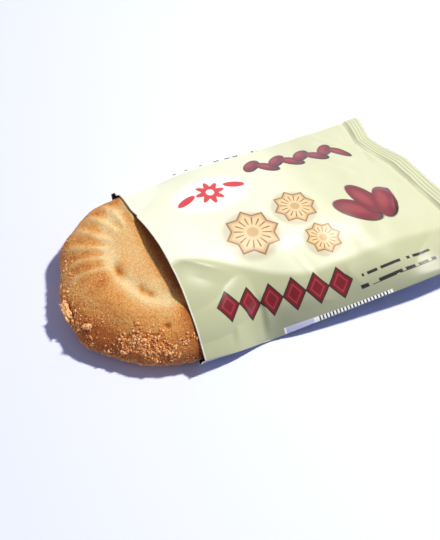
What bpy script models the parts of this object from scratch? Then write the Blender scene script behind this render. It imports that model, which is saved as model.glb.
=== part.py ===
"""Date-filled maamoul cookie, half slid out of its opened flow-wrap sleeve.

Units are metres, +Z is up and +X runs along the sleeve to its sealed end.
The origin is on the table, in the middle of the flat film under the cookie.
"""

import math

import bmesh
import bpy
import numpy as np

MM = 0.001

# Cookie
COOKIE_RADIUS = 28.0 * MM
COOKIE_HEIGHT = 12.5 * MM          # base to crest
BASE_RADIUS = 24.6 * MM            # flat underside
WAIST_HEIGHT = 4.6 * MM            # where the side is widest
CREST_RADIUS = 17.0 * MM           # highest ring of the flank
RIB_COUNT = 27                     # ribs that the mould presses into the flank
RIB_TURN = math.radians(135.67)    # direction of one rib's ridge
STEPS_PER_RIB = 5
RIB_HEIGHT = 0.4 * MM
RIB_START = 0.48                   # of the radius
RIB_END = 0.95
WORN_ANGLE = math.radians(-130)    # the flank is smooth around this direction
WORN_SPREAD = math.radians(62)
CENTRE_HALF_LENGTH = 11.5 * MM     # oval panel in the middle, along X
CENTRE_HALF_WIDTH = 16.8 * MM      # and across
CENTRE_OFFSET = 2.8 * MM
CENTRE_DROP = 0.7 * MM
GROOVE_DEPTH = 0.5 * MM            # ring groove round the oval panel
GROOVE_SPREAD = 0.2                # of the oval's own radius

# Sleeve
FILM = 0.4 * MM
FOLD = 0.9 * MM                    # height of the folded edge and of the crimp
FILM_GAP = 0.32 * MM               # between the film and the cookie's underside
MOUTH_X = -0.5 * MM                # measured from the middle of the cookie
FLAT_MIDDLE = 14.0 * MM            # middle of the flat film under the cookie
CRIMP_START = 74.0 * MM
CAVITY_END = 72.5 * MM
SEAL_END = 79.8 * MM
SEAL_SKEW = 0.11                   # how far the seal slants towards the -Y side
STATIONS = 22
TOP_POINTS = 22
BOTTOM_POINTS = 18
SIDE_STEEPNESS = 24.0              # power of the curve that turns the underside up

# Sections of the sleeve in mm: place along X, reach to -Y and +Y, fold height on
# both sides, rise of the top over the folds, fullness of the top, lift of the underside.
SLEEVE_SECTIONS = (
    (-0.5, 31.0, 31.0, 5.9, 5.9, 12.1, 3.3, 0.00),
    (8.0, 30.8, 31.7, 4.0, 5.2, 13.2, 4.1, 0.00),
    (16.5, 29.3, 32.5, 1.2, 4.6, 14.2, 3.8, 0.00),
    (27.0, 30.6, 33.6, 3.4, 4.2, 12.2, 3.0, 0.04),
    (45.0, 32.8, 34.4, 6.6, 3.8, 7.4, 2.4, 0.35),
    (60.0, 34.2, 34.4, 8.4, 3.4, 4.4, 2.2, 0.75),
    (74.0, 34.2, 34.2, 9.0, 2.8, 0.0, 2.0, 1.00),
    (79.8, 34.2, 34.2, 9.2, 2.6, 0.0, 2.0, 1.00),
)

CRUST_COLOUR = (0.54, 0.29, 0.11, 1.0)
FILM_COLOUR = (0.86, 0.88, 0.66, 1.0)


def clear_scene():
    for obj in list(bpy.data.objects):
        bpy.data.objects.remove(obj, do_unlink=True)


def new_collection(name):
    collection = bpy.data.collections.new(name)
    bpy.context.scene.collection.children.link(collection)
    return collection


def new_material(name, colour, roughness):
    material = bpy.data.materials.new(name)
    material.use_nodes = True
    shader = material.node_tree.nodes["Principled BSDF"]
    shader.inputs["Base Color"].default_value = colour
    shader.inputs["Roughness"].default_value = roughness
    shader.inputs["Metallic"].default_value = 0.0
    return material


def new_object(name, mesh, collection, material=None):
    obj = bpy.data.objects.new(name, mesh)
    collection.objects.link(obj)
    if material:
        mesh.materials.append(material)
    return obj


def smoothstep(low, high, value):
    t = np.clip((value - low) / (high - low), 0.0, 1.0)
    return t * t * (3.0 - 2.0 * t)


# --- cookie ---

def cookie_profile():
    """Half section from the middle of the top, over the flank, to the middle of the base."""
    points = [(CREST_RADIUS * part, COOKIE_HEIGHT) for part in (0.0, 0.2, 0.4, 0.55, 0.7, 0.85, 1.0)]
    for angle in np.linspace(0.5 * math.pi, 0.0, 8)[1:]:
        radius = CREST_RADIUS + (COOKIE_RADIUS - CREST_RADIUS) * math.cos(angle)
        height = WAIST_HEIGHT + (COOKIE_HEIGHT - WAIST_HEIGHT) * math.sin(angle)
        points.append((radius, height))
    for angle in np.linspace(0.5 * math.pi, 0.0, 4)[1:]:
        radius = BASE_RADIUS + (COOKIE_RADIUS - BASE_RADIUS) * math.sin(angle)
        height = WAIST_HEIGHT * (1.0 - math.cos(angle))
        points.append((radius, height))
    points.append((0.0, 0.0))
    return points


def turned_mesh(name, points, steps):
    """Mesh of a profile in the XZ plane, turned round Z by a Screw modifier."""
    profile = bpy.data.meshes.new(name + "_profile")
    edges = [(i, i + 1) for i in range(len(points) - 1)]
    profile.from_pydata([(r, 0.0, z) for r, z in points], edges, [])
    obj = new_object(name + "_profile", profile, bpy.context.scene.collection)
    screw = obj.modifiers.new("turn", "SCREW")
    screw.axis = "Z"
    screw.steps = steps
    screw.render_steps = steps
    screw.use_merge_vertices = True
    screw.merge_threshold = 0.00001
    graph = bpy.context.evaluated_depsgraph_get()
    mesh = bpy.data.meshes.new_from_object(obj.evaluated_get(graph))
    mesh.name = name
    bpy.data.objects.remove(obj, do_unlink=True)
    return mesh


def cookie_relief(x, y, z):
    """Height that the mould adds at each point of the upper side."""
    radius = np.hypot(x, y) / COOKIE_RADIUS
    angle = np.arctan2(y, x)
    on_top = smoothstep(WAIST_HEIGHT, 0.85 * COOKIE_HEIGHT, z)

    oval = np.hypot(x / CENTRE_HALF_LENGTH, (y - CENTRE_OFFSET) / CENTRE_HALF_WIDTH)
    centre = -CENTRE_DROP * (1.0 - smoothstep(0.85, 1.35, oval))
    groove = -GROOVE_DEPTH * np.exp(-(((oval - 1.0) / GROOVE_SPREAD) ** 2))

    band = smoothstep(RIB_START, RIB_START + 0.08, radius) * (1.0 - smoothstep(RIB_END - 0.12, RIB_END, radius))
    from_worn = np.abs((angle - WORN_ANGLE + math.pi) % (2.0 * math.pi) - math.pi)
    kept = smoothstep(0.6 * WORN_SPREAD, WORN_SPREAD, from_worn)
    ribs = RIB_HEIGHT * band * kept * np.cos(RIB_COUNT * (angle - RIB_TURN))
    return on_top * (centre + groove + ribs)


def make_cookie(collection, material):
    mesh = turned_mesh("cookie", cookie_profile(), RIB_COUNT * STEPS_PER_RIB)
    points = np.empty(len(mesh.vertices) * 3)
    mesh.vertices.foreach_get("co", points)
    points = points.reshape(-1, 3)
    points[:, 2] += cookie_relief(points[:, 0], points[:, 1], points[:, 2])
    mesh.vertices.foreach_set("co", points.ravel())
    mesh.shade_smooth()
    cookie = new_object("cookie", mesh, collection, material)
    # Half of the base lies on the film, so the cookie leans forward onto its front edge.
    lean = math.asin((FILM + FILM_GAP) / BASE_RADIUS)
    cookie.rotation_euler = (0.0, -lean, 0.0)
    cookie.location = (-FLAT_MIDDLE, 0.0, BASE_RADIUS * math.sin(lean))
    return cookie


# --- sleeve ---

def section_at(x):
    """Section values at one place along the sleeve, on smooth curves through the table."""
    table = np.array(SLEEVE_SECTIONS)
    places = table[:, 0]
    slopes = np.gradient(table[:, 1:], places, axis=0)
    slopes[0] = 0.0
    slopes[-2:] = 0.0
    i = int(np.clip(np.searchsorted(places, x) - 1, 0, len(places) - 2))
    span = places[i + 1] - places[i]
    t = (x - places[i]) / span
    start, end = table[i, 1:], table[i + 1, 1:]
    return (
        (2 * t ** 3 - 3 * t ** 2 + 1) * start
        + (t ** 3 - 2 * t ** 2 + t) * span * slopes[i]
        + (3 * t ** 2 - 2 * t ** 3) * end
        + (t ** 3 - t ** 2) * span * slopes[i + 1]
    )


def sleeve_ring(x, inset):
    """Closed ring of points round the sleeve, inset by the film's thickness for its inside."""
    near, far, near_fold, far_fold, rise, fullness, lift = section_at(x / MM)
    rise = max(rise, 0.0)
    lift = min(max(lift, 0.0), 1.0)
    reach = 2.0 * inset
    skew = SEAL_SKEW * float(smoothstep(20.0 * MM, CRIMP_START, x))

    def point(across, upper):
        y = across * ((far * MM if across > 0 else near * MM) - reach)
        fold = (near_fold + (far_fold - near_fold) * 0.5 * (across + 1.0)) * MM
        if upper:
            z = fold + 0.5 * FOLD + rise * MM * (1.0 - abs(across) ** fullness) - inset
        else:
            z = (fold - 0.5 * FOLD) * (abs(across) ** SIDE_STEEPNESS * (1.0 - lift) + lift) + inset
        return (x - skew * y - FLAT_MIDDLE, y, z)

    turn_top = np.linspace(0.0, math.pi, TOP_POINTS)
    turn_bottom = np.linspace(0.0, math.pi, BOTTOM_POINTS)
    top = [point(-math.cos(a), True) for a in turn_top]
    bottom = [point(math.cos(a), False) for a in turn_bottom]
    return top + bottom


def loft_mesh(name, rings):
    """Closed solid through rings of the same number of points."""
    mesh = bpy.data.meshes.new(name)
    shape = bmesh.new()
    loops = [[shape.verts.new(p) for p in ring] for ring in rings]
    count = len(loops[0])
    for first, second in zip(loops, loops[1:]):
        for i in range(count):
            j = (i + 1) % count
            shape.faces.new((first[i], first[j], second[j], second[i]))
    shape.faces.new(reversed(loops[0]))
    shape.faces.new(loops[-1])
    bmesh.ops.triangulate(shape, faces=shape.faces[:])
    bmesh.ops.recalc_face_normals(shape, faces=shape.faces[:])
    shape.to_mesh(mesh)
    shape.free()
    return mesh


def make_sleeve(collection, cutters, material):
    outer_places = list(np.linspace(MOUTH_X, CRIMP_START, STATIONS)) + [SEAL_END]
    outer = loft_mesh("sleeve", [sleeve_ring(x, 0.0) for x in outer_places])
    sleeve = new_object("sleeve", outer, collection, material)

    mouth_ring = sleeve_ring(MOUTH_X, FILM)
    run_out = [(x - 3.0 * MM, y, z) for x, y, z in mouth_ring]
    inner_places = [x for x in outer_places if MOUTH_X < x < CAVITY_END] + [CAVITY_END]
    cavity_rings = [run_out, mouth_ring] + [sleeve_ring(x, FILM) for x in inner_places]
    cavity = new_object("sleeve_cavity", loft_mesh("sleeve_cavity", cavity_rings), cutters)
    cavity.hide_render = True
    cavity.display_type = "WIRE"

    hollow = sleeve.modifiers.new("hollow", "BOOLEAN")
    hollow.operation = "DIFFERENCE"
    hollow.object = cavity
    return sleeve


def main():
    clear_scene()
    part = new_collection("maamoul_cookie")
    cutters = new_collection("cutters")
    make_cookie(part, new_material("baked_crust", CRUST_COLOUR, 0.8))
    make_sleeve(part, cutters, new_material("printed_film", FILM_COLOUR, 0.4))


main()
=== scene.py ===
import math
import random
from types import SimpleNamespace

import bpy
import numpy as np
from mathutils import Euler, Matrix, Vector, noise


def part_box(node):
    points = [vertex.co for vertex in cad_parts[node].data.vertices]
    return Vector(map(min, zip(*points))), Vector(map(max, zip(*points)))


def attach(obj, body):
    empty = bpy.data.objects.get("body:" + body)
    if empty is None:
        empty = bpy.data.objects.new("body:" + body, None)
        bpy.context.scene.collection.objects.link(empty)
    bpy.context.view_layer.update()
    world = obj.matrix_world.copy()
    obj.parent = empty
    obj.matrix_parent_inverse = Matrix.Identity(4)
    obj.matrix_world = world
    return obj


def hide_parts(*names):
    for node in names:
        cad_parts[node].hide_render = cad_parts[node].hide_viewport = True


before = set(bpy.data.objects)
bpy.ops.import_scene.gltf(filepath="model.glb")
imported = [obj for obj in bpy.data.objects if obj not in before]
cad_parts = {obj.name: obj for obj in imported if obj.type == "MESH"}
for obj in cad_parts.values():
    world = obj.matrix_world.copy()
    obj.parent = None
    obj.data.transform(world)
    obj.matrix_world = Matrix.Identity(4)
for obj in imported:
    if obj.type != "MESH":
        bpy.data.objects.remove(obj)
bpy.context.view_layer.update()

mm = 0.001
cookieLow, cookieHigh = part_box("cookie")
cookieCentre = Vector(((cookieLow.x + cookieHigh.x) / 2, (cookieLow.y + cookieHigh.y) / 2, 0.0))
cookieRadius = (cookieHigh.y - cookieLow.y) / 2 / mm  # shapes below are worked out in millimetres


def setMode(mode):
    bpy.ops.object.mode_set(mode=mode)


def addObject(name, data):
    item = bpy.data.objects.new(name, data)
    bpy.context.scene.collection.objects.link(item)
    return item


def deselectAll():
    if bpy.context.object and bpy.context.object.mode != "OBJECT":
        setMode("OBJECT")
    bpy.ops.object.select_all(action="DESELECT")


def takeActive(piece):
    deselectAll()
    piece.select_set(True)
    bpy.context.view_layer.objects.active = piece


def applyModifier(piece, kind, name, **values):
    takeActive(piece)
    modifier = piece.modifiers.new(name, kind)
    for key, value in values.items():
        setattr(modifier, key, value)
    bpy.ops.object.modifier_apply(modifier=name)


def readPoints(piece, kind="co"):
    points = np.empty(len(piece.data.vertices) * 3)
    piece.data.vertices.foreach_get(kind, points)
    return points.reshape(-1, 3)


def writePoints(piece, points):
    piece.data.vertices.foreach_set("co", points.ravel())
    piece.data.update()


def keepValue(piece, name, values):
    attribute = piece.data.attributes.new(name, "FLOAT", "POINT")
    attribute.data.foreach_set("value", np.asarray(values, dtype=np.float32))


def smoothStep(low, high, value):
    t = np.clip((value - low) / (high - low), 0.0, 1.0)
    return t * t * (3.0 - 2.0 * t)


def turnBetween(a, b):
    return np.abs((a - b + 180.0) % 360.0 - 180.0)  # smallest turn in degrees


def noiseAt(points, size, seed):
    shift = Vector((seed * 7.1, seed * 3.3, seed * 5.7))
    return np.array([noise.noise(Vector(p) / size + shift) for p in points])


def grainAt(points, size):
    # high in the middle of a grain, low between the grains
    return np.array([0.45 - noise.voronoi(Vector(p) / size)[0][0] for p in points])


def spotAt(x, y, centre, size, turn):
    c, s = math.cos(math.radians(turn)), math.sin(math.radians(turn))
    along = (x - centre[0]) * c + (y - centre[1]) * s
    across = (y - centre[1]) * c - (x - centre[0]) * s
    return np.exp(-(along / size[0]) ** 2 - (across / size[1]) ** 2)


# shader helpers, used by every material below

def addNode(tree, kind, **values):
    node = tree.nodes.new("ShaderNode" + kind)
    for key, value in values.items():
        if hasattr(node, key):
            setattr(node, key, value)
        else:
            node.inputs[key].default_value = value
    return node


def feed(tree, socket, value):
    if isinstance(value, bpy.types.NodeSocket):
        tree.links.new(value, socket)
    else:
        socket.default_value = value


def sums(tree, operation, *values):
    node = addNode(tree, "Math", operation=operation)
    for socket, value in zip(node.inputs, values):
        feed(tree, socket, value)
    return node.outputs[0]


def times(tree, a, b):
    return sums(tree, "MULTIPLY", a, b)


def readValue(tree, name):
    return addNode(tree, "Attribute", attribute_name=name).outputs["Fac"]


def stepOf(tree, value, low, high):
    node = addNode(tree, "MapRange", interpolation_type="SMOOTHSTEP")
    feed(tree, node.inputs["Value"], value)
    node.inputs["From Min"].default_value = low
    node.inputs["From Max"].default_value = high
    return node.outputs["Result"]


def blendPaint(tree, mask, under, over):
    node = addNode(tree, "Mix", data_type="RGBA")
    feed(tree, node.inputs["Factor"], mask)
    feed(tree, node.inputs[6], under)  # the colour sockets of a Mix node
    feed(tree, node.inputs[7], over)
    return node.outputs[2]


def newPaint(name, **shaderValues):
    paint = bpy.data.materials.new(name)
    paint.use_nodes = True
    shader = paint.node_tree.nodes["Principled BSDF"]
    for key, value in shaderValues.items():
        shader.inputs[key.replace("_", " ")].default_value = value
    return paint, paint.node_tree, shader


def newGroup(name, inputs, outputs):
    group = bpy.data.node_groups.new(name, "ShaderNodeTree")
    for socketName, kind, value in inputs:
        socket = group.interface.new_socket(socketName, in_out="INPUT", socket_type="NodeSocket" + kind)
        if value is not None:
            socket.default_value = value
    for socketName, kind in outputs:
        group.interface.new_socket(socketName, in_out="OUTPUT", socket_type="NodeSocket" + kind)
    return group, group.nodes.new("NodeGroupInput"), group.nodes.new("NodeGroupOutput")


def placeGroup(tree, group, **values):
    node = addNode(tree, "Group", node_tree=group)
    for key, value in values.items():
        feed(tree, node.inputs[key], value)
    return node


studio = {
    "target": (1.6 * mm, -2.7 * mm, 0.0),
    "azimuth": math.radians(-25.7),
    "elevation": math.radians(54.1),
    "distance": 250.0 * mm,
    "lens": 61.0,
    "sunHeight": math.radians(57),
    "sunSideways": -0.07,
    "sunColour": (1.0, 0.965, 0.90),
    "skyColour": (0.56, 0.68, 1.0, 1.0),
    "skyStrength": 0.27,
    "floorColour": (0.74, 0.77, 1.0, 1.0),
    "floorSize": 4.0,
    "floorDrop": 0.05 * mm,  # clear of the undersides
}
sunWay = (math.cos(studio["sunHeight"]), studio["sunSideways"], math.sin(studio["sunHeight"]))

# name, way to it, distance, size, power, colour, the rays that don't see it:
# the glint lamp makes only small glints, and the gloss lamp only the sheen on the film
lamps = [
    ("keyLight", sunWay, 0.8, 0.07, 8.75, studio["sunColour"], "glossy"),
    ("glintLight", (0.41, 0.25, 0.87), 0.8, 0.07, 2.6, studio["sunColour"], "diffuse"),
    ("glossLight", (0.27, 0.80, 0.45), 1.4, 2.2, 16.0, (0.86, 0.90, 1.0), "diffuse"),
    ("bounceLight", (-0.97, 0.12, 0.10), 1.0, 0.7, 2.3, (1.0, 0.84, 0.70), "glossy"),
    ("warmFill", (-0.60, 0.50, 0.62), 0.7, 0.35, 0.92, (1.0, 0.80, 0.58), "glossy"),
]


def placeCamera():
    turn, rise = studio["azimuth"], studio["elevation"]
    back = Vector((math.sin(turn) * math.cos(rise), -math.cos(turn) * math.cos(rise), math.sin(rise)))
    camera = addObject("camera", bpy.data.cameras.new("camera"))
    camera.data.lens = studio["lens"]
    camera.data.clip_start = 0.01
    camera.location = Vector(studio["target"]) + back * studio["distance"]
    camera.rotation_euler = back.to_track_quat("Z", "Y").to_euler()
    bpy.context.scene.camera = camera


def layFloor():
    paint = newPaint("paleFloor", Base_Color=studio["floorColour"], Roughness=0.9, Specular_IOR_Level=0.1)[0]
    deselectAll()
    bpy.ops.mesh.primitive_plane_add(size=studio["floorSize"], location=(0, 0, -studio["floorDrop"]))
    floor = bpy.context.object
    floor.name = "floor"
    floor.data.materials.append(paint)


def addLamp(name, way, distance, size, power, colour, unseenBy):
    way = Vector(way).normalized()
    lamp = addObject(name, bpy.data.lights.new(name, "AREA"))
    lamp.data.shape = "DISK"
    lamp.data.size = size
    lamp.data.energy = power
    lamp.data.color = colour
    lamp.location = way * distance
    lamp.rotation_euler = way.to_track_quat("Z", "Y").to_euler()
    setattr(lamp, "visible_" + unseenBy, False)
    return lamp


def setSky():
    world = bpy.data.worlds.new("softRoom")
    world.use_nodes = True
    sky = world.node_tree.nodes["Background"]
    sky.inputs["Color"].default_value = studio["skyColour"]
    sky.inputs["Strength"].default_value = studio["skyStrength"]
    bpy.context.scene.world = world
    bpy.context.scene.view_settings.view_transform = "Standard"


def makeStudio():
    placeCamera()
    layFloor()
    lit = {lamp[0]: addLamp(*lamp) for lamp in lamps}
    setSky()
    print("camera, floor and", len(lit), "lamps are set")
    return lit


def lightOnly(lamp, pieces):
    reach = bpy.data.collections.new(lamp.name + "Reach")
    for piece in pieces:
        reach.objects.link(piece)
    lamp.light_linking.receiver_collection = reach


cookie = {
    "height": 12.5,
    "waist": 4.6,         # height of the widest ring
    "crest": 17.0,        # radius of the highest ring
    "base": 24.6,         # radius of the flat underside
    "lean": 1.68,         # degrees, propped on the film
    "spinSteps": 180,
    "voxel": 0.44,        # mesh step, halved later where the cookie shows
    "shownTo": 2.5,       # it shows up to this far along X
    "ribCount": 28,
    "ribCrest": 171.6,    # degrees round to one crest
    "ribDepth": 0.54,
    "ribWander": 2.2,     # degrees
    "ribBand": (0.45, 0.57, 0.82, 0.94),
    "slump": 0.33,        # share of the edge's height that has sunk
    "slumpAngle": -150.0,
    "slumpSpread": 34.0,
    "wornAngle": -128.0,
    "wornSpread": (50.0, 60.0),
    "ovalHalf": (11.8, 16.8),
    "ovalOffset": 2.8,
    "ovalDrop": 0.35,
    "grooveRing": 0.97,   # where it runs, as a share of the oval
    "grooveDepth": 0.6,
    "grooveSpread": 0.15,
    "grooveWorn": 0.92,   # how much of it is worn away on the far side
    "paleRing": 1.02,
    "paleSpread": 0.17,
    "tornDepth": 0.30,
    "grainSize": 0.8,
    "grainDepth": 0.10,
}

# angle, spread, change of radius: where the edge is flattened or bulges
edgeDents = [
    (161.0, 13.0, -1.35), (143.0, 9.0, 0.3), (-156.0, 9.0, 1.1), (-134.0, 11.0, -0.6),
    (128.0, 12.0, -0.3), (98.0, 9.0, -0.9), (-152.0, 9.0, -0.5), (-108.0, 9.0, -0.6),
]
# centre, size, turn, height: dents and bumps pressed in the top
topDents = [
    ((-11.7, 0.2), (0.9, 2.1), 8.0, -0.42), ((-9.8, 1.6), (1.6, 2.6), 0.0, 0.55),
    ((-8.4, -7.4), (0.8, 1.1), 0.0, -0.4), ((-7.1, -9.7), (1.4, 0.8), -45.0, -0.55),
    ((-6.0, -7.4), (2.2, 2.0), 0.0, 0.45), ((-6.8, -20.5), (0.7, 0.6), 0.0, -0.6),
    ((-17.5, -1.5), (3.2, 2.0), 30.0, -0.25), ((-8.0, 11.0), (2.2, 3.0), 0.0, 0.25),
    ((-26.2, -1.9), (0.55, 2.6), 6.0, -1.5), ((-25.3, -3.0), (1.3, 0.4), 10.0, -0.5),
]
# centre, spread along and across, turn, share: where the skin is torn and coarse crumbs stick
crumbPatches = [
    ((-15.4, -19.4), (3.0, 2.5), -38.0, 0.40), ((-11.4, -22.6), (3.4, 2.6), -30.0, 0.42),
    ((-8.2, -25.4), (1.8, 1.5), -20.0, 0.12), ((-3.6, -25.0), (1.6, 0.9), 0.0, 0.07),
]
# how much browner, or paler, each cause makes the crust; betweenRibs is partly and shadeUnderFilm wholly
# painted shade
browning = {
    "all": 0.44,
    "blotches": 0.11,
    "betweenRibs": 0.36,
    "paleGroove": -0.50,
    "middle": -0.20,
    "torn": 0.34,
    "rim": 0.22,
    "foot": 0.18,
    "shadeUnderFilm": (0.34, 0.4),  # painted shade under the film's torn edge, in two steps, darkest right under it
}
# centre, size, turn, change: patches made browner or paler; the browner ones in the top's dents are partly
# painted shade, the long one on the lower-left flank is painted shade
bakeSpots = [
    # browner spots over the top's dents, partly baked colour and partly painted shade in them; the one at
    # (-9.6, 1.4) sits on a lump
    ((-17.0, -1.6), (3.6, 2.2), 20.0, 0.30), ((-11.5, 0.2), (1.1, 2.4), 8.0, 0.66),
    ((-9.6, 1.4), (1.6, 2.4), 0.0, 0.20), ((-7.1, -9.6), (1.8, 1.1), -45.0, 0.52),
    ((-8.4, -7.4), (1.1, 1.4), 0.0, 0.45), ((-6.8, -20.4), (0.8, 0.7), 0.0, 0.40),
    # the first spot here is painted shade on the lower-left flank, which faces away from the lamps
    ((-22.8, -12.8), (8.5, 2.9), -64.0, 0.62), ((-25.5, 7.0), (3.0, 7.0), 10.0, -0.25),
    ((-14.0, 21.5), (7.0, 3.0), 60.0, -0.22),
]


def cookieTop(x, y):
    # height of the smooth top, which the film rests on
    radius = np.hypot(x, y)
    crest, waist = cookie["crest"], cookie["waist"]
    fall = np.clip((radius - crest) / (cookieRadius - crest), 0.0, 1.0)
    top = waist + (cookie["height"] - waist) * np.sqrt(1 - fall ** 2)
    tilted = top + (x + cookie["base"]) * math.sin(math.radians(cookie["lean"]))
    return np.where(radius < cookieRadius, tilted, 0.0)


def spinCookie():
    # the outline from the middle of the top, round the edge, to the middle of the underside
    crest, base, waist, height = (cookie[key] for key in ("crest", "base", "waist", "height"))
    profile = [(crest * part, height) for part in (0.0, 0.25, 0.5, 0.75, 1.0)]
    for turn in np.linspace(math.pi / 2, 0, 12)[1:]:
        rise = (height - waist) * math.sin(turn)
        profile.append((crest + (cookieRadius - crest) * math.cos(turn), waist + rise))
    for turn in np.linspace(0, math.pi / 2, 7)[1:]:
        profile.append((base + (cookieRadius - base) * math.cos(turn), waist * (1 - math.sin(turn))))
    profile += [(base * 0.5, 0.0), (0.0, 0.0)]

    deselectAll()
    bpy.ops.mesh.primitive_plane_add(size=mm, location=(0, 0, height * mm))
    crust = bpy.context.object
    crust.name = "cookieCrust"
    bpy.ops.object.transform_apply(location=True)
    setMode("EDIT")
    bpy.ops.mesh.merge(type="CENTER")
    for start, end in zip(profile, profile[1:]):
        step = ((end[0] - start[0]) * mm, 0.0, (end[1] - start[1]) * mm)
        bpy.ops.mesh.extrude_region_move(TRANSFORM_OT_translate={"value": step})
    bpy.ops.mesh.select_all(action="SELECT")
    bpy.ops.mesh.spin(steps=cookie["spinSteps"], angle=2 * math.pi, center=(0, 0, 0), axis=(0, 0, 1))
    bpy.ops.mesh.select_all(action="SELECT")
    bpy.ops.mesh.remove_doubles(threshold=0.02 * mm)
    bpy.ops.mesh.normals_make_consistent(inside=False)
    setMode("OBJECT")
    return crust


def refineFront(crust):
    applyModifier(crust, "REMESH", "evenMesh", mode="VOXEL", voxel_size=cookie["voxel"] * mm)
    points = readPoints(crust) / mm
    shown = (points[:, 0] < cookie["shownTo"]) & (points[:, 2] > 1.0)
    takeActive(crust)
    setMode("EDIT")
    bpy.ops.mesh.select_mode(type="VERT")
    bpy.ops.mesh.select_all(action="DESELECT")
    setMode("OBJECT")
    crust.data.vertices.foreach_set("select", shown)
    setMode("EDIT")
    bpy.ops.mesh.subdivide(number_cuts=1, smoothness=0.0)
    setMode("OBJECT")
    applyModifier(crust, "SMOOTH", "evenOut", factor=0.5, iterations=4)


def tornAt(points):
    # 1 where the skin has broken off
    field = 0.22 * noiseAt(points, 1.6, 11.0)
    for place, spread, turn, share in crumbPatches:
        field += min(1.0, share * 2.4) * spotAt(points[:, 0], points[:, 1], place, spread, turn)
    return smoothStep(0.34, 0.66, field)


def readZones(points):
    # where each point of the plain cookie lies: its turn, the oval, the band of ribs
    zone = SimpleNamespace()
    zone.x, zone.y, zone.z = points.T.copy()
    zone.radius = np.hypot(zone.x, zone.y) / cookieRadius
    zone.angle = np.degrees(np.arctan2(zone.y, zone.x))
    halfAlong, halfAcross = cookie["ovalHalf"]
    zone.oval = np.hypot(zone.x / halfAlong, (zone.y - cookie["ovalOffset"]) / halfAcross)
    bandIn, bandFull, bandFade, bandOut = cookie["ribBand"]
    zone.band = smoothStep(bandIn, bandFull, zone.radius) * (1 - smoothStep(bandFade, bandOut, zone.radius))
    zone.kept = smoothStep(*cookie["wornSpread"], turnBetween(zone.angle, cookie["wornAngle"]))
    wander = cookie["ribWander"] * noiseAt(points, 7.0, 4.0)
    phase = np.radians(zone.angle + wander - cookie["ribCrest"]) * cookie["ribCount"]
    zone.wave = (0.5 + 0.5 * np.cos(phase + 0.35 * np.sin(phase))) ** 0.9
    zone.scorch = (0.45 - zone.wave) * (1 + 0.8 * noiseAt(points, 1.8, 9.0))  # browner between the ribs, partly a baked colour and partly painted shade in the furrows
    zone.pale = np.exp(-((zone.oval - cookie["paleRing"]) / cookie["paleSpread"]) ** 2)
    return zone


def pressTop(points, zone):
    # the sunk side, then the oval, its groove, the ribs, dents and lumps
    sunk = np.exp(-(turnBetween(zone.angle, cookie["slumpAngle"]) / cookie["slumpSpread"]) ** 2)
    sunk = sunk * smoothStep(0.62, 0.93, zone.radius)
    points[:, 2] -= cookie["slump"] * sunk * np.maximum(zone.z - cookie["waist"], 0.0)

    centre = -cookie["ovalDrop"] * (1 - smoothStep(0.85, 1.3, zone.oval))
    fromRing = (zone.oval - cookie["grooveRing"]) / cookie["grooveSpread"]
    groove = -cookie["grooveDepth"] * np.exp(-fromRing ** 2)
    groove *= 1 - cookie["grooveWorn"] * smoothStep(0.0, 7.0, zone.y)
    ribs = cookie["ribDepth"] * zone.band * zone.kept * (zone.wave - 0.6)
    dents = np.zeros(len(points))
    for place, size, turn, height in topDents:
        dents += height * spotAt(zone.x, zone.y, place, size, turn)
    lumps = 0.3 * noiseAt(points, 9.0, 1.0) + 0.08 * noiseAt(points, 4.0, 2.0)
    onTop = smoothStep(cookie["waist"], 0.85 * cookie["height"], zone.z)
    onSide = smoothStep(0.2, 2.0, zone.z)
    uneven = dents * smoothStep(3.0, 7.0, zone.z) + lumps * 0.7
    points[:, 2] += onTop * (centre + groove + ribs) + onSide * uneven

    swell = lumps * 1.2
    for place, spread, change in edgeDents:
        swell += change * np.exp(-(turnBetween(zone.angle, place) / spread) ** 2)
    swell *= smoothStep(0.55, 0.95, zone.radius) * onSide
    points[:, 0] += swell * zone.x / (zone.radius * cookieRadius + 1e-6)
    points[:, 1] += swell * zone.y / (zone.radius * cookieRadius + 1e-6)


def bakeAt(points, zone):
    # 0 pale to 1 dark, for each point of the pressed cookie
    bake = browning["all"] + browning["blotches"] * noiseAt(points, 6.0, 8.0)
    bake += browning["betweenRibs"] * zone.band * zone.kept * zone.scorch
    bake += browning["paleGroove"] * zone.pale
    bake += browning["middle"] * (1 - smoothStep(0.8, 1.0, zone.oval))
    bake += browning["torn"] * tornAt(points)
    bake += browning["rim"] * smoothStep(0.78, 1.0, zone.radius)
    bake += browning["foot"] * (1 - smoothStep(3.0, 8.0, zone.z))
    # painted shade: the crust is darker where the film's edge shades it
    bake += browning["shadeUnderFilm"][0] * smoothStep(-5.0, 0.0, zone.x)
    bake += browning["shadeUnderFilm"][1] * smoothStep(-2.2, 0.6, zone.x)
    for place, size, turn, change in bakeSpots:
        bake += change * spotAt(zone.x, zone.y, place, size, turn)
    return np.clip(bake, 0, 1)


def pressMould(crust):
    points = readPoints(crust) / mm
    zone = readZones(points)
    pressTop(points, zone)
    writePoints(crust, points * mm)
    keepValue(crust, "bake", bakeAt(points, zone))
    keepValue(crust, "torn", tornAt(points))
    return zone


def roughenCrust(crust, zone):
    # sandy grains, coarser on the rim, between the ribs and where the skin is torn
    points = readPoints(crust) / mm
    normals = readPoints(crust, "normal")
    torn = tornAt(points)
    furrows = zone.kept * zone.band * (0.5 - zone.wave)
    coarse = 0.7 + 0.9 * smoothStep(0.6, 0.95, zone.radius) - 0.3 * zone.pale + 0.9 * furrows
    coarse += 1.6 * torn
    coarse *= smoothStep(0.3, 1.5, points[:, 2]) * smoothStep(4.0, 0.0, points[:, 0])  # only where it shows
    grain = grainAt(points, cookie["grainSize"])
    fine = 0.06 * noiseAt(points, 0.55, 6.0)
    relief = cookie["grainDepth"] * grain + 0.05 * noiseAt(points, 1.4, 5.0) + fine
    push = coarse * relief - cookie["tornDepth"] * torn
    writePoints(crust, (points + normals * push[:, None]) * mm)
    keepValue(crust, "grain", grain + 0.5)


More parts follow.
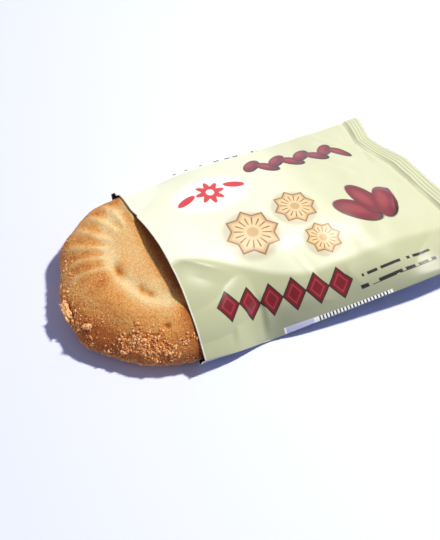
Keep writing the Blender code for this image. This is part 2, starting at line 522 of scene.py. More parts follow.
def makeCookie():
    crust = spinCookie()
    refineFront(crust)
    zone = pressMould(crust)
    roughenCrust(crust, zone)
    crust.data.materials.append(makeCrust())
    crust.data.shade_smooth()
    takeActive(crust)
    lean = math.radians(cookie["lean"])
    crust.rotation_euler = (0.0, -lean, 0.0)
    crust.location = cookieCentre + Vector((0.0, 0.0, cookie["base"] * mm * math.sin(lean)))
    bpy.ops.object.transform_apply(location=True, rotation=True)
    points = readPoints(crust)
    points[:, 2] = np.maximum(points[:, 2], 0.0)
    writePoints(crust, points)
    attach(crust, "root")
    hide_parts("cookie")
    print("cookie is baked:", len(crust.data.polygons), "faces")
    return crust


def makeSandGroup():
    group, given, result = newGroup(
        "sandyGrain",
        [("Scale", "Float", 1.0), ("Bake", "Float", 0.5)],
        [("Bake", "Float"), ("Height", "Float")],
    )
    place = addNode(group, "TexCoord")
    fine = addNode(group, "TexNoise", Detail=3.0, Roughness=0.65)
    specks = addNode(group, "TexVoronoi", feature="F1")
    for texture, perMetre in ((fine, 3000.0), (specks, 2600.0)):
        feed(group, texture.inputs["Vector"], place.outputs["Object"])
        feed(group, texture.inputs["Scale"], times(group, given.outputs["Scale"], perMetre))
    sand = sums(group, "SUBTRACT", fine.outputs["Fac"], 0.5)
    speck = sums(group, "SUBTRACT", specks.outputs["Distance"], 0.45)
    mixed = sums(group, "ADD", times(group, sand, 1.2), times(group, speck, 0.30))
    feed(group, result.inputs["Bake"], sums(group, "ADD", given.outputs["Bake"], mixed))
    feed(group, result.inputs["Height"], sums(group, "SUBTRACT", sand, speck))
    return group


# from pale to dark: place on the ramp, colour
crustRamp = [
    (0.00, (0.68, 0.52, 0.28)), (0.22, (0.59, 0.385, 0.17)), (0.45, (0.605, 0.30, 0.086)),
    (0.70, (0.46, 0.165, 0.040)), (1.00, (0.29, 0.088, 0.024)),
]
crumbRamp = [
    (0.00, (0.84, 0.51, 0.25)), (0.35, (0.77, 0.39, 0.150)), (0.65, (0.62, 0.245, 0.075)),
    (1.00, (0.40, 0.105, 0.025)),
]
tornColour = (0.62, 0.205, 0.048, 1)  # fresh crumb where the skin has gone


def addRamp(tree, steps, value):
    ramp = addNode(tree, "ValToRGB")
    ramp.color_ramp.elements[0].color = (*steps[0][1], 1)
    ramp.color_ramp.elements[1].color = (*steps[-1][1], 1)
    for position, colour in steps[1:-1]:
        ramp.color_ramp.elements.new(position).color = (*colour, 1)
    feed(tree, ramp.inputs["Fac"], value)
    return ramp.outputs["Color"]


def makeCrust():
    paint, tree, shader = newPaint(
        "sandyCrust", Roughness=0.82, Specular_IOR_Level=0.22,
        Subsurface_Weight=0.22, Subsurface_Radius=(1.0, 0.42, 0.16), Subsurface_Scale=0.9 * mm,
    )  # light that soaks into the crumb keeps its shaded sides warm
    pits = times(tree, sums(tree, "SUBTRACT", readValue(tree, "grain"), 0.5), 0.16)
    bake = sums(tree, "SUBTRACT", readValue(tree, "bake"), pits)
    sand = placeGroup(tree, sandGroup, Scale=1.0, Bake=bake)
    skin = addRamp(tree, crustRamp, sand.outputs["Bake"])
    feed(tree, shader.inputs["Base Color"], blendPaint(tree, readValue(tree, "torn"), skin, tornColour))
    bump = addNode(tree, "Bump", Strength=0.65, Distance=0.1 * mm)
    feed(tree, bump.inputs["Height"], sand.outputs["Height"])
    feed(tree, shader.inputs["Normal"], bump.outputs["Normal"])
    return paint


crumbs = {
    "seed": 7,
    "clumps": 78,
    "clumpCrumbs": (5, 12),
    "clumpSpread": 0.42,
    "clumpHeights": (5.2, 8.4),  # where it falls over the edge
    "clumpSize": (0.18, 0.50, 0.252),
    "clumpSink": (-0.22, 0.12),
    "flakeCount": 90,
}
# turns in degrees, heights and half sizes: from, to and, with a third number, the most likely
edgeBand = {"count": 110, "turns": (146, 192, 172), "heights": (4.6, 10.6), "size": (0.14, 0.46, 0.22)}
footBand = {
    "count": 2400, "turns": (200, 282), "heights": (0.9, 6.5, 2.2), "size": (0.09, 0.27, 0.11),
    "patch": 1.7, "gather": (-0.35, 0.3),
}
rimBand = {
    "count": 2300, "turns": (128, 264, 184), "heights": (1.2, 11.5, 7.0), "size": (0.08, 0.30, 0.12),
    "patch": 2.2, "gather": (-0.25, 0.35),
    "sideShare": 0.92, "topTurns": (100, 268), "topArea": (0.3, 0.85),  # the others fall on the top
}

# place, half size: single crumbs on the edge and the top
looseCrumbs = [
    ((-26.9, -5.4), 0.42), ((-26.1, -7.1), 0.34), ((-24.8, -5.8), 0.30), ((-25.4, -3.9), 0.42),
    ((-23.9, -8.2), 0.34), ((-26.4, 1.9), 0.45), ((-24.0, 3.1), 0.32), ((-25.0, 4.3), 0.34),
    ((-26.4, -8.4), 0.26), ((-20.0, -9.9), 0.24), ((-18.9, -10.5), 0.28), ((-17.3, -3.8), 0.20),
    ((-20.5, -6.8), 0.20), ((-18.4, -18.0), 0.30), ((-22.1, -15.7), 0.30), ((-21.8, -16.8), 0.42),
    ((-25.6, 5.6), 0.30), ((-26.0, 3.4), 0.38), ((-25.2, -6.6), 0.26), ((-22.6, -12.4), 0.28),
]
# place, height, half sizes, turn: a flake and a block of crumb stuck to the edge
flakes = [((-27.2, -1.5), 6.4, (0.95, 2.5, 1.5), -6.0), ((-24.6, -9.8), 8.9, (0.95, 0.62, 0.6), -35.0)]


def makeChunk(seed):
    deselectAll()
    bpy.ops.mesh.primitive_ico_sphere_add(subdivisions=1)
    chunk = bpy.context.object
    points = readPoints(chunk)
    rng = random.Random(seed)
    points *= np.array([rng.uniform(0.65, 1.2) for _ in points])[:, None]
    faces = [tuple(face.vertices) for face in chunk.data.polygons]
    bpy.data.objects.remove(chunk)
    return points, faces


def hitCrust(crust, start, way):
    found, spot, normal, _ = crust.ray_cast(start * mm + cookieCentre, way)
    return (spot, normal) if found else None


def hitTop(crust, x, y):
    return hitCrust(crust, Vector((x, y, 30.0)), Vector((0, 0, -1)))


def hitSide(crust, angle, height):
    out = Vector((math.cos(angle), math.sin(angle), 0.0))
    return hitCrust(crust, out * 40.0 + Vector((0, 0, height)), -out)


def joinChunks(name, templates, spots, rng):
    points, faces, tone, count = [], [], [], 0
    for spot, normal, size in spots:
        shape, shapeFaces = templates[rng.randrange(len(templates))]
        turn = np.array(Euler([rng.uniform(0, 2 * math.pi) for _ in range(3)]).to_matrix())
        stretch = np.array([rng.uniform(0.7, 1.3), rng.uniform(0.7, 1.2), rng.uniform(0.6, 1.0)])
        sink = rng.uniform(0.45, 0.95)
        place = np.array(spot + normal * size * mm * (1 - sink))
        chunk = (shape * stretch * size * mm) @ turn.T + place
        points.append(chunk)
        faces += [tuple(corner + count for corner in face) for face in shapeFaces]
        tone += [rng.uniform(-0.5, 0.5)] * len(shape)
        count += len(shape)
    mesh = bpy.data.meshes.new(name)
    mesh.from_pydata(np.concatenate(points).tolist(), [], faces)
    piece = addObject(name, mesh)
    keepValue(piece, "tone", tone)
    piece.data.materials.append(crumbPaint)
    piece.data.shade_flat()
    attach(piece, "root")
    print(name, "laid:", len(spots), "crumbs,", len(faces), "faces")
    return piece


def draw(rng, limits):
    # from, to and, where it is given, the most likely
    return rng.triangular(*limits) if len(limits) == 3 else rng.uniform(*limits)


def layClump(crust, middle, rng):
    # a clump of crumbs round one spot, over the edge where it reaches that far
    spots = []
    drop = draw(rng, crumbs["clumpHeights"])
    for _ in range(rng.randint(*crumbs["clumpCrumbs"])):
        x, y = (value + rng.gauss(0, crumbs["clumpSpread"]) for value in middle)
        if math.hypot(x, y) < 0.96 * cookieRadius:
            hit = hitTop(crust, x, y)
        else:
            hit = hitSide(crust, math.atan2(y, x), drop + rng.gauss(0, crumbs["clumpSpread"]))
        size = draw(rng, crumbs["clumpSize"])
        if hit:
            spot, normal = hit
            spots.append((spot + normal * draw(rng, crumbs["clumpSink"]) * mm, normal, size))
    return spots


def layClumps(crust, rng):
    spots = []
    for place, spread, turn, share in crumbPatches:
        c, s = math.cos(math.radians(turn)), math.sin(math.radians(turn))
        for _ in range(int(crumbs["clumps"] * share)):
            along, across = rng.gauss(0, spread[0] * 0.6), rng.gauss(0, spread[1] * 0.6)
            middle = (place[0] + along * c - across * s, place[1] + along * s + across * c)
            spots += layClump(crust, middle, rng)
    return spots


def throwOne(crust, band, rng):
    if "sideShare" in band and rng.random() >= band["sideShare"]:
        angle = math.radians(draw(rng, band["topTurns"]))
        reach = cookieRadius * math.sqrt(draw(rng, band["topArea"]))
        return hitTop(crust, reach * math.cos(angle), reach * math.sin(angle))
    return hitSide(crust, math.radians(draw(rng, band["turns"])), draw(rng, band["heights"]))


def gathers(spot, band, rng):
    # fine crumbs lie in patches
    return "patch" not in band or noise.noise(spot / (band["patch"] * mm)) > draw(rng, band["gather"])


def layBand(crust, band, rng):
    spots = []
    for _ in range(band["count"]):
        hit = throwOne(crust, band, rng)
        if hit and gathers(hit[0], band, rng):
            spots.append((*hit, draw(rng, band["size"])))
    return spots


def layOnFlake(flake, rng):
    spots = []
    for _ in range(crumbs["flakeCount"]):
        point = flake.data.vertices[rng.randrange(len(flake.data.vertices))]
        spots.append((point.co.copy(), point.normal.copy(), draw(rng, edgeBand["size"])))
    return spots


def scatterCrumbs(crust, flake):
    rng = random.Random(crumbs["seed"])
    chunks = [makeChunk(seed) for seed in range(1, 10)]
    spots = layClumps(crust, rng)
    spots += [(*hitTop(crust, *place), size) for place, size in looseCrumbs]
    spots += layBand(crust, edgeBand, rng) + layOnFlake(flake, rng)
    coarse = joinChunks("coarseCrumbs", chunks[:6], spots, rng)
    spots = layBand(crust, rimBand, rng) + layBand(crust, footBand, rng)
    return [coarse, joinChunks("rimCrumbs", chunks[6:], spots, rng)]


def makeFlakes():
    pieces = []
    for i, (place, height, half, turn) in enumerate(flakes):
        deselectAll()
        bpy.ops.mesh.primitive_ico_sphere_add(subdivisions=5)
        flake = bpy.context.object
        points = readPoints(flake)
        points /= (np.abs(points) ** 4.0).sum(axis=1, keepdims=True) ** (1 / 4.0)  # squarer than a ball
        points = points * half
        relief = 1 + 0.30 * noiseAt(points, 0.9, 20.0 + i) + 0.36 * noiseAt(points, 0.35, 30.0 + i)
        points *= relief[:, None]
        grain = 0.22 * grainAt(points, 0.55)[:, None]
        points += grain * points / np.linalg.norm(points, axis=1, keepdims=True)
        spin = np.array(Euler((0.0, math.radians(-12.0), math.radians(turn))).to_matrix())
        writePoints(flake, (points @ spin.T + np.array((*place, height))) * mm + np.array(cookieCentre))
        keepValue(flake, "tone", np.full(len(points), -0.30))
        pieces.append(flake)
    takeActive(pieces[0])
    pieces[1].select_set(True)
    bpy.ops.object.join()
    flake = pieces[0]
    flake.name = "rimFlakes"
    bpy.ops.object.transform_apply(location=True, rotation=True, scale=True)
    flake.data.materials.append(crumbPaint)
    flake.data.shade_smooth()
    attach(flake, "root")
    print("flakes are stuck on the edge:", len(flake.data.polygons), "faces")
    return flake


def makeCrumbPaint():
    paint, tree, shader = newPaint("looseCrumb", Roughness=0.8, Specular_IOR_Level=0.25)
    bake = sums(tree, "ADD", times(tree, readValue(tree, "tone"), 0.9), 0.36)
    sand = placeGroup(tree, sandGroup, Scale=0.8, Bake=bake)
    feed(tree, shader.inputs["Base Color"], addRamp(tree, crumbRamp, sand.outputs["Bake"]))
    return paint


# place along the sleeve, reach to -Y and +Y, fold height on each side,
# rise of the top over the folds, its fullness on each side, lift of the underside
sleeveSections = [
    (-0.5, 30.1, 30.7, 5.9, 5.9, 10.4, 2.9, 1.8, 0.00),
    (8.0, 30.2, 31.7, 4.0, 5.2, 11.5, 3.2, 2.6, 0.00),
    (16.5, 29.0, 32.8, 0.9, 4.6, 12.7, 3.2, 2.9, 0.00),
    (27.0, 30.6, 34.0, 3.4, 4.2, 11.0, 2.8, 2.8, 0.04),
    (45.0, 32.8, 34.4, 6.6, 3.8, 7.4, 2.4, 2.4, 0.35),
    (60.0, 34.2, 34.4, 8.4, 3.4, 4.4, 2.2, 2.2, 0.75),
    (74.0, 34.2, 34.2, 9.0, 2.8, 0.0, 2.0, 2.0, 1.00),
    (79.8, 34.2, 34.2, 9.2, 2.6, 0.0, 2.0, 2.0, 1.00),
]

sleeve = {
    "film": 0.1,
    "fold": 0.5,          # gap between the two layers at the folded edges
    "foldTurn": 0.955,    # share of the half width where the fold starts to turn
    "crimpStart": 75.4,
    "sealEnd": 79.8,
    "skew": 0.11,
    "steepness": 16.0,
    "mouthBlend": 9.0,
    "bands": ((-0.5, 6.0, 21), (6.0, 73.0, 106), (73.0, 79.8, 29)),  # from, to, rings
    "topSteps": 176,
    "underSteps": 60,
    "crimpPitch": 1.05,
    "crimpDepth": 0.14,
    "toothPitch": 2.1,
    "toothDepth": 0.35,
    "clearance": 0.4,
}

# how far the torn edge is pulled in or out, from -Y to +Y
mouthEdge = [
    (-30.1, -1.0), (-27.0, -0.75), (-23.4, -0.45), (-20.4, -0.2), (-17.0, 0.05), (-13.6, 0.28),
    (-10.2, 0.42), (-3.4, 0.48), (0.0, 0.45), (3.4, 0.25), (6.8, 0.0), (10.2, -0.3), (13.2, -0.7),
    (13.9, -0.3), (17.0, -1.0), (20.4, -1.2), (23.8, -1.3), (27.2, -1.25), (30.7, -0.95),
]

# the same for the crimped end
endEdge = [
    (-34.0, 0.6), (-12.0, 1.0), (0.4, 1.2), (6.4, 1.3), (13.9, -0.8), (19.2, -2.0), (27.0, 0.3), (34.0, 0.3),
]

# ends, height, width: creases pressed in the film
creases = [
    ((17.7, -21.0), (16.4, -29.2), -0.85, 1.0), ((19.1, -20.0), (18.4, -28.5), 0.55, 0.8),
    ((9.8, -23.0), (8.6, -29.8), 0.50, 0.7), ((8.7, -23.5), (7.0, -29.4), -0.45, 0.9),
    ((30.6, -13.5), (34.2, -25.5), 0.38, 0.7), ((31.9, -14.0), (35.6, -25.0), -0.25, 1.2),
    ((38.2, -27.8), (42.4, -22.8), -0.35, 1.2), ((42.0, -23.0), (44.5, -29.4), 0.3, 1.0),
    ((32.0, -27.4), (36.4, -29.0), 0.35, 0.9), ((24.0, -22.0), (28.0, -29.5), -0.3, 2.0),
    ((67.6, -1.2), (64.6, -12.4), 0.75, 0.75), ((69.4, -2.0), (66.6, -13.6), -0.6, 1.1),
    ((63.4, 8.5), (61.2, -1.0), -0.5, 1.5), ((61.5, -0.5), (67.0, -2.6), -0.45, 0.9),
    ((72.2, 17.5), (70.0, 9.0), -0.5, 0.8), ((66.0, 24.0), (72.5, 12.0), 0.3, 1.8),
    ((73.0, -12.0), (66.0, -24.0), 0.4, 1.4), ((71.0, -20.0), (60.0, -29.0), -0.35, 1.6),
    ((0.6, -4.6), (12.8, -13.6), 0.40, 1.2), ((2.4, -11.0), (14.0, -19.0), -0.22, 3.0),
    ((46.0, 8.0), (58.0, -2.0), 0.25, 2.6), ((50.0, 22.0), (64.0, 15.0), -0.3, 2.4),
    ((64.8, -2.6), (66.4, -9.8), 0.45, 0.6), ((71.4, -0.4), (77.6, -0.8), 0.35, 0.6),
    ((58.0, 27.0), (66.5, 17.0), 0.35, 0.9), ((55.0, 14.0), (63.0, 6.0), -0.35, 1.1),
]


def sectionAt(place):
    # a smooth curve through the rows of sleeveSections, level at both ends
    table = np.array(sleeveSections)
    places = table[:, 0]
    slopes = np.gradient(table[:, 1:], places, axis=0)
    slopes[0] = 0.0
    slopes[-2:] = 0.0
    i = int(np.clip(np.searchsorted(places, place) - 1, 0, len(places) - 2))
    span = places[i + 1] - places[i]
    t = (place - places[i]) / span
    blend = (2 * t ** 3 - 3 * t ** 2 + 1) * table[i, 1:] + (3 * t ** 2 - 2 * t ** 3) * table[i + 1, 1:]
    return blend + span * ((t ** 3 - 2 * t ** 2 + t) * slopes[i] + (t ** 3 - t ** 2) * slopes[i + 1])


def loopAt(place, across, upper):
    # one ring of the sleeve: points in millimetres from the cookie's centre
    near, far, nearFold, farFold, rise, nearFull, farFull, lift = sectionAt(place)
    y = across * np.where(across > 0, far, near)
    fold = nearFold + (farFold - nearFold) * 0.5 * (across + 1)
    full = np.where(across > 0, farFull, nearFull)
    edge = sleeve["fold"] / 2
    top = fold + edge + max(rise, 0.0) * (1 - np.abs(across) ** full)
    under = (fold - edge) * (np.abs(across) ** sleeve["steepness"] * (1 - lift) + lift)
    turning = np.clip((np.abs(across) - sleeve["foldTurn"]) / (1 - sleeve["foldTurn"]), 0.0, 1.0)
    closing = edge * (1 - np.sqrt(1 - turning ** 2))  # rounds the fold shut
    z = np.where(upper, top - closing, under + closing)
    x = place - sleeve["skew"] * float(smoothStep(20.0, sleeve["crimpStart"], place)) * y
    return x, y, z


def pulled(edge, y):
    table = np.array(edge)
    return np.interp(y, table[:, 0], table[:, 1])


def flatNoise(rings, stretch, size, seed):
    # depends on the place over the film alone, not on its height
    flat = rings.reshape(-1, 3) * (*stretch, 0.0)
    return noiseAt(flat, size, seed).reshape(rings.shape[:2])


def wrinkleFilm(rings, place, top, ridge):
    x, y, z = rings.transpose(2, 0, 1)
    slack = 0.25 + 0.75 * smoothStep(14.0, 40.0, place)  # tight over the cookie
    seal = smoothStep(68.0, 74.0, place)
    wrinkles = 0.75 * flatNoise(rings, (1, 1), 15.0, 1.0) + 0.35 * flatNoise(rings, (1, 0.6), 6.0, 2.0)
    z += ridge * slack * (1 - 0.6 * seal) * wrinkles
    for start, end, height, width in creases:
        run = np.array(end) - np.array(start)
        t = ((x - start[0]) * run[0] + (y - start[1]) * run[1]) / (run @ run)
        away = np.hypot(x - start[0] - t * run[0], y - start[1] - t * run[1])
        fade = smoothStep(-0.12, 0.3, t) * (1 - smoothStep(0.7, 1.12, t))
        z += height * fade * np.exp(-(away / width) ** 1.2) * (top if height < 0 else ridge)


def crimpEnd(rings, place):
    x, y, z = rings.transpose(2, 0, 1)
    crimp = smoothStep(sleeve["crimpStart"] - 0.6, sleeve["crimpStart"] + 0.3, place)
    z += crimp * sleeve["crimpDepth"] * np.sin(2 * math.pi * place / sleeve["crimpPitch"])
    z += crimp * 0.5 * flatNoise(rings, (0.3, 1), 9.0, 3.0)
    z -= 0.5 * np.exp(-((place - sleeve["crimpStart"] + 0.9) / 0.8) ** 2)  # the fold before the seal
    x += smoothStep(58.0, sleeve["sealEnd"], place) * pulled(endEdge, y)
    tooth = np.abs((y / sleeve["toothPitch"]) % 1.0 - 0.5) * 2 - 0.5
    x += smoothStep(sleeve["sealEnd"] - 1.2, sleeve["sealEnd"], place) * sleeve["toothDepth"] * tooth


def tearMouth(rings, place, top):
    x, y = rings.transpose(2, 0, 1)[:2]
    lip = -1.0 - 0.9 * smoothStep(24.0, 28.5, y) - 0.8 * smoothStep(26.0, 29.0, -y)  # of the lower layer
    near = 1 - smoothStep(0.0, sleeve["mouthBlend"], place - place[0])
    x += np.where(top, pulled(mouthEdge, y), lip) * near


def restFilm(rings, top):
    # over the cookie and on the floor, never through them
    x, y, z = rings.transpose(2, 0, 1)
    over = cookieTop(x, y) + sleeve["clearance"]
    z[:] = np.where(top & (np.hypot(x, y) < cookieRadius), np.maximum(z, over), z)
    z[:] = np.maximum(z, 0.0)


def shapeFilm(rings, places, across, upper):
    place = np.repeat(places[:, None], len(across), axis=1)
    top = np.repeat(upper[None, :], len(places), axis=0)
    ridge = top * (1 - smoothStep(0.86, 1.0, np.abs(across)))[None, :]
    wrinkleFilm(rings, place, top, ridge)
    crimpEnd(rings, place)
    tearMouth(rings, place, top)
    restFilm(rings, top)


def layGrid(rows, columns):
    # a flat grid, with the row and the column of each point
    deselectAll()
    bpy.ops.mesh.primitive_grid_add(x_subdivisions=rows - 1, y_subdivisions=columns - 1, size=1.0)
    film = bpy.context.object
    film.name = "sleeveFilm"
    grid = readPoints(film)
    row = np.rint((grid[:, 0] + 0.5) * (rows - 1)).astype(int)
    column = np.rint((grid[:, 1] + 0.5) * (columns - 1)).astype(int)
    return film, row, column


def arcOver(rings, middle):
    # length over the film in each ring, counted from its ridge
    steps = np.linalg.norm(np.diff(rings[:, :, 1:], axis=1), axis=2)
    arc = np.concatenate([np.zeros((len(rings), 1)), np.cumsum(steps, axis=1)], axis=1)
    return arc - arc[:, middle:middle + 1]


def keepFlat(film, along, over):
    # the film's own flat places, for the print: 1 unit is 100 mm of film
    layer = film.data.uv_layers.active or film.data.uv_layers.new()
    layer.name = "flat"
    corners = np.empty(len(film.data.loops), dtype=int)
    film.data.loops.foreach_get("vertex_index", corners)
    flat = np.stack([along, over], axis=1) / 100.0
    layer.data.foreach_set("uv", flat[corners].ravel())


def joinSeam(film):
    takeActive(film)
    setMode("EDIT")
    bpy.ops.mesh.select_all(action="SELECT")
    bpy.ops.mesh.remove_doubles(threshold=0.004 * mm)
    if readPoints(film, "normal")[:, 2][readPoints(film)[:, 2] > 12 * mm].mean() < 0:
        bpy.ops.mesh.flip_normals()
    setMode("OBJECT")


def makeSleeve():
    bands = [np.linspace(*band) for band in sleeve["bands"]]
    places = np.concatenate([*(band[:-1] for band in bands[:-1]), bands[-1]])
    topTurn = np.linspace(0, 1, sleeve["topSteps"] + 1)
    underTurn = np.linspace(0, 1, sleeve["underSteps"] + 1)[1:]
    across = np.concatenate([-np.cos(math.pi * topTurn), np.cos(math.pi * underTurn)])
    across = np.sign(across) * np.abs(across) ** 0.9
    upper = np.concatenate([np.ones(len(topTurn), bool), np.zeros(len(underTurn), bool)])

    film, row, column = layGrid(len(places), len(across))
    rings = np.array([np.stack(loopAt(place, across, upper), axis=1) for place in places])
    arc = arcOver(rings, len(topTurn) // 2)
    shapeFilm(rings, places, across, upper)
    writePoints(film, (rings[row, column] + np.array(cookieCentre) / mm) * mm)
    keepFlat(film, places[row], arc[row, column])
    joinSeam(film)

    for paint in (makePrintedFilm(), makeShadedInnerFilm(), makeCutEdge()):
        film.data.materials.append(paint)
    applyModifier(film, "SOLIDIFY", "filmThickness", thickness=sleeve["film"] * mm, offset=-1.0,
                  material_offset=1, material_offset_rim=2)
    film.data.shade_smooth()
    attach(film, "root")
    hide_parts("sleeve")
    print("sleeve is folded:", len(film.data.polygons), "faces")


def makeOvalGroup():
    # distance from an oval's middle, 1 at its edge, with the angle round it
    group, given, result = newGroup(
        "ovalShape",
        [("Vector", "Vector", None), ("Location", "Vector", (0, 0, 0)),
         ("Scale", "Vector", (1, 1, 1)), ("Rotation", "Vector", (0, 0, 0))],
        [("Distance", "Float"), ("Angle", "Float"), ("Local", "Vector")],
    )
    mapping = addNode(group, "Mapping", vector_type="TEXTURE")
    for name in ("Vector", "Location", "Rotation", "Scale"):
        feed(group, mapping.inputs[name], given.outputs[name])
    parts = addNode(group, "SeparateXYZ")
    feed(group, parts.inputs["Vector"], mapping.outputs["Vector"])
    x, y = parts.outputs["X"], parts.outputs["Y"]
    squares = sums(group, "ADD", times(group, x, x), times(group, y, y))
    feed(group, result.inputs["Distance"], sums(group, "SQRT", squares))
    feed(group, result.inputs["Angle"], sums(group, "ARCTAN2", y, x))
    feed(group, result.inputs["Local"], mapping.outputs["Vector"])
    return group


inks = {
    "field": (0.72, 0.735, 0.53),
    "mouthField": (0.82, 0.83, 0.62),
    "endField": (0.55, 0.56, 0.365),
    # painted shade: the near side of the film is printed darker
    "nearSideShade": (0.435, 0.45, 0.27),
    # painted shade at the near fold, printed darker still
    "foldShade": (0.285, 0.30, 0.20),
    "panel": (0.97, 0.96, 0.90),
    # painted shade: the underside is dark, though the real back of the wrapper is white
    "undersideShade": (0.26, 0.27, 0.35),
    "white": (0.82, 0.82, 0.80),
    "tan": (0.52, 0.34, 0.14),
    "tanLight": (0.68, 0.50, 0.26),
    "brown": (0.24, 0.09, 0.03),
    "darkRed": (0.17, 0.012, 0.018),
    "red": (0.55, 0.03, 0.03),
    "pink": (0.31, 0.045, 0.045),
    "ink": (0.02, 0.018, 0.016),
    "lilac": (0.50, 0.50, 0.66),
    "cream": (0.86, 0.85, 0.70),
}

# the print, in millimetres along and across the film
flower = {"centre": (19.6, 11.6), "radius": 4.3, "petals": 8.0}
glow = {"centre": (19.5, 11.5), "size": (10.5, 6.2)}
# centre, half sizes, turn: red ovals beside the flower, then a chain of leaves and a fan of three
dots = [((12.4, 11.0), (3.0, 1.1), 20), ((27.0, 12.2), (3.0, 1.1), -20)]
leaves = [((35.5 + 4.2 * i, 17.4 + 0.9 * (-1) ** i), (3.5, 1.7), 38 * (-1) ** i) for i in range(8)]
leaves += [((53.2, -8.6), (3.0, 6.4), 48), ((57.6, -5.4), (3.0, 6.4), 14), ((62.4, -7.6), (3.0, 6.4), -24)]
stars = [((24.0, -5.2), 7.0), ((38.6, -1.4), 5.6), ((40.4, -13.2), 4.6)]  # centre, radius
# edge, softness, ink: the fields of a star from the outside in
starFields = [(1.0, 0.03, "brown"), (0.92, 0.03, "tan"), (0.80, 0.10, "tanLight")]
lozenges = [(9.0 + 5.9 * i, -22.4 - 0.8 * i) for i in range(6)]
lozengeSize, lozengeTurn = (2.85, 4.0), -8
# across from and to, along from and to, share of strokes left out: rows of short strokes
strokeRows = [
    (-30.2, -29.2, 42.5, 63.0, 0.22), (-27.2, -26.4, 44.0, 63.0, 0.22), (25.8, 26.6, 14.0, 42.0, 0.45),
]
strip = {"across": (-34.6, -31.6), "along": (21.5, 49.0), "lilac": (22.0, 29.0), "bars": (30.0, 48.4)}


def readFilm(tree):
    # where each point lies when the film is laid flat, and the colour printed so far
    uv = addNode(tree, "UVMap", uv_map="flat")
    scaled = addNode(tree, "VectorMath", operation="SCALE", Scale=100.0)
    feed(tree, scaled.inputs[0], uv.outputs["UV"])
    place = scaled.outputs["Vector"]
    parts = addNode(tree, "SeparateXYZ")
    feed(tree, parts.inputs["Vector"], place)
    along, over = parts.outputs["X"], parts.outputs["Y"]
    return SimpleNamespace(tree=tree, place=place, along=along, over=over, colour=(*inks["field"], 1))


def lay(film, ink, mask, *masks):
    # prints one ink where every mask is 1
    for other in masks:
        mask = times(film.tree, mask, other)
    film.colour = blendPaint(film.tree, mask, film.colour, (*inks[ink], 1))


def inside(tree, distance, edge, soft):
    return sums(tree, "SUBTRACT", 1.0, stepOf(tree, distance, edge - soft, edge + soft))


def between(tree, value, low, high, soft=0.08):
    above = stepOf(tree, value, low - soft, low + soft)
    return times(tree, above, inside(tree, value, high, soft))


def raised(film, slope, amount):
    # the place across the film, shifted by so much of a slope along it
    return sums(film.tree, "ADD", film.over, times(film.tree, slope, amount))


def ovalAt(film, centre, size, turn=0.0):
    return placeGroup(film.tree, ovalGroup, Vector=film.place, Location=(*centre, 0.0), Scale=(*size, 1.0),
                      Rotation=(0, 0, math.radians(turn))).outputs


def dotAt(film, centre, size, turn, edge, soft):
    return inside(film.tree, ovalAt(film, centre, size, turn)["Distance"], edge, soft)


def cornersOf(tree, oval):
    # distance from the middle, level round a square and round a square on its point
    local = addNode(tree, "SeparateXYZ")
    feed(tree, local.inputs["Vector"], oval["Local"])
    x, y = (sums(tree, "ABSOLUTE", local.outputs[axis]) for axis in "XY")
    return sums(tree, "MAXIMUM", x, y), sums(tree, "ADD", x, y)


def printGround(film):
    tree, along = film.tree, film.along
    lay(film, "endField", stepOf(tree, along, 33.0, 56.0))
    lay(film, "mouthField", inside(tree, along, 11.0, 6.0))
    # painted shade: the near side is printed darker, standing in for the shade where it turns from the light
    nearSide = raised(film, stepOf(tree, along, 1.0, 34.0), 15.0)
    lay(film, "nearSideShade", inside(tree, nearSide, -6.2, 1.3))
    # painted shade: the near fold, rounded away from the light, is printed darker still
    foldSide = raised(film, stepOf(tree, along, 30.0, 60.0), 4.0)
    lay(film, "foldShade", inside(tree, foldSide, -25.5, 4.5), stepOf(tree, along, 9.0, 24.0))
    lay(film, "panel", stepOf(tree, raised(film, along, -0.07), 23.3, 23.6))  # the back panel turns over here
    # painted shade: the underside is printed dark, so that it throws no light into the shadow on the floor
    # beside the sleeve
    lay(film, "undersideShade", stepOf(tree, film.over, 44.0, 47.0))


def printFlower(film):
    tree = film.tree
    lay(film, "white", dotAt(film, glow["centre"], glow["size"], 0.0, 1.0, 0.22))
    disc = ovalAt(film, flower["centre"], (flower["radius"], flower["radius"]))
    petals = sums(tree, "COSINE", times(tree, disc["Angle"], flower["petals"]))
    bloom = sums(tree, "SUBTRACT", disc["Distance"], times(tree, petals, 0.2))
    lay(film, "red", inside(tree, bloom, 0.76, 0.05))
    lay(film, "white", inside(tree, disc["Distance"], 0.26, 0.04))


def printStar(film, centre, radius):
    tree, (x, y), size = film.tree, centre, (radius, radius)
    lay(film, "brown", dotAt(film, (x - 0.6, y - 0.5), size, 0.0, 1.12, 0.16), 0.35)  # its shade
    star = ovalAt(film, centre, size)
    square, tilted = cornersOf(tree, star)
    edge = sums(tree, "MINIMUM", times(tree, square, 1.31), times(tree, tilted, 0.926))
    for reach, soft, ink in starFields:
        lay(film, ink, inside(tree, edge, reach, soft))
    rays = sums(tree, "COSINE", times(tree, star["Angle"], 16.0))
    lay(film, "brown", stepOf(tree, rays, 0.55, 0.9), between(tree, star["Distance"], 0.36, 0.70, 0.04))
    lay(film, "tan", inside(tree, star["Distance"], 0.22, 0.03))


def printLeaf(film, centre, size, turn):
    (x, y), (halfAlong, halfAcross) = centre, size
    lay(film, "ink", dotAt(film, (x + 0.25, y - 0.3), (halfAlong + 0.3, halfAcross + 0.3), turn, 1.0, 0.06))
    lay(film, "darkRed", dotAt(film, centre, size, turn, 1.0, 0.06))
    shine = dotAt(film, (x - 0.3, y + 0.4), (halfAlong * 0.62, halfAcross * 0.62), turn, 0.8, 0.45)
    lay(film, "pink", shine, 0.75)


def printLozenge(film, centre):
    side = cornersOf(film.tree, ovalAt(film, centre, lozengeSize, lozengeTurn))[1]
    lay(film, "ink", inside(film.tree, side, 1.10, 0.05))
    lay(film, "darkRed", inside(film.tree, side, 0.95, 0.05))
    lay(film, "pink", between(film.tree, side, 0.52, 0.66, 0.06))


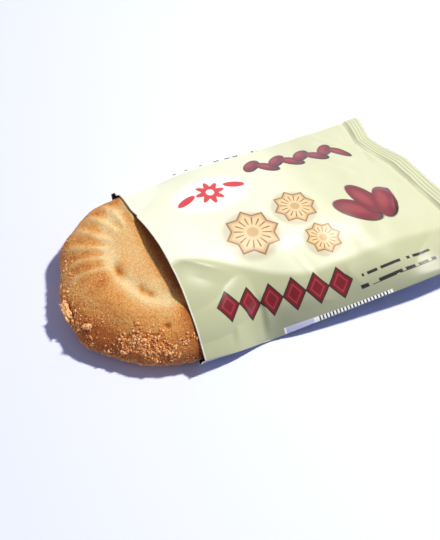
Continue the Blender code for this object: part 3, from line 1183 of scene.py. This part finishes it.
def printStrokes(film):
    tree = film.tree
    cells = addNode(tree, "CombineXYZ")
    for axis, value, perMillimetre in (("X", film.along, 1.1), ("Y", film.over, 0.4)):
        feed(tree, cells.inputs[axis], sums(tree, "FLOOR", times(tree, value, perMillimetre)))
    cell = addNode(tree, "TexWhiteNoise", noise_dimensions="2D")
    feed(tree, cell.inputs["Vector"], cells.outputs["Vector"])
    for low, high, start, end, leftOut in strokeRows:
        lay(film, "ink", between(tree, film.over, low, high), between(tree, film.along, start, end),
            sums(tree, "GREATER_THAN", cell.outputs["Value"], leftOut))


def printStrip(film):
    tree, along = film.tree, film.along
    band = between(tree, raised(film, along, 0.03), *strip["across"])
    lay(film, "white", band, between(tree, along, *strip["along"]))
    lay(film, "lilac", band, between(tree, along, *strip["lilac"]))
    bars = stepOf(tree, sums(tree, "COSINE", times(tree, along, 7.4)), 0.1, 0.5)
    lay(film, "ink", band, between(tree, along, *strip["bars"]), bars)


def makePrintedFilm():
    paint, tree, shader = newPaint("printedFilm", Roughness=0.34, Specular_IOR_Level=0.5)
    film = readFilm(tree)
    printGround(film)
    printFlower(film)
    for centre, radius in stars:
        printStar(film, centre, radius)
    for centre, size, turn in dots:
        lay(film, "red", dotAt(film, centre, size, turn, 1.0, 0.06))
    for centre, size, turn in leaves:
        printLeaf(film, centre, size, turn)
    for centre in lozenges:
        printLozenge(film, centre)
    printStrokes(film)
    printStrip(film)
    lay(film, "cream", inside(tree, film.along, -0.14, 0.06))  # the bare torn edge
    feed(tree, shader.inputs["Base Color"], film.colour)
    return paint


# painted shade: the film's inside is dark and warm all over, as it looks in the shade inside the sleeve
def makeShadedInnerFilm():
    return newPaint("shadedInnerFilm", Base_Color=(0.09, 0.055, 0.035, 1), Roughness=0.5)[0]


def makeCutEdge():
    return newPaint("cutEdge", Base_Color=(0.93, 0.93, 0.80, 1), Roughness=0.6)[0]


lit = makeStudio()
sandGroup = makeSandGroup()
ovalGroup = makeOvalGroup()
crumbPaint = makeCrumbPaint()
crust = makeCookie()
flake = makeFlakes()
lightOnly(lit["warmFill"], [crust, flake] + scatterCrumbs(crust, flake))
makeSleeve()
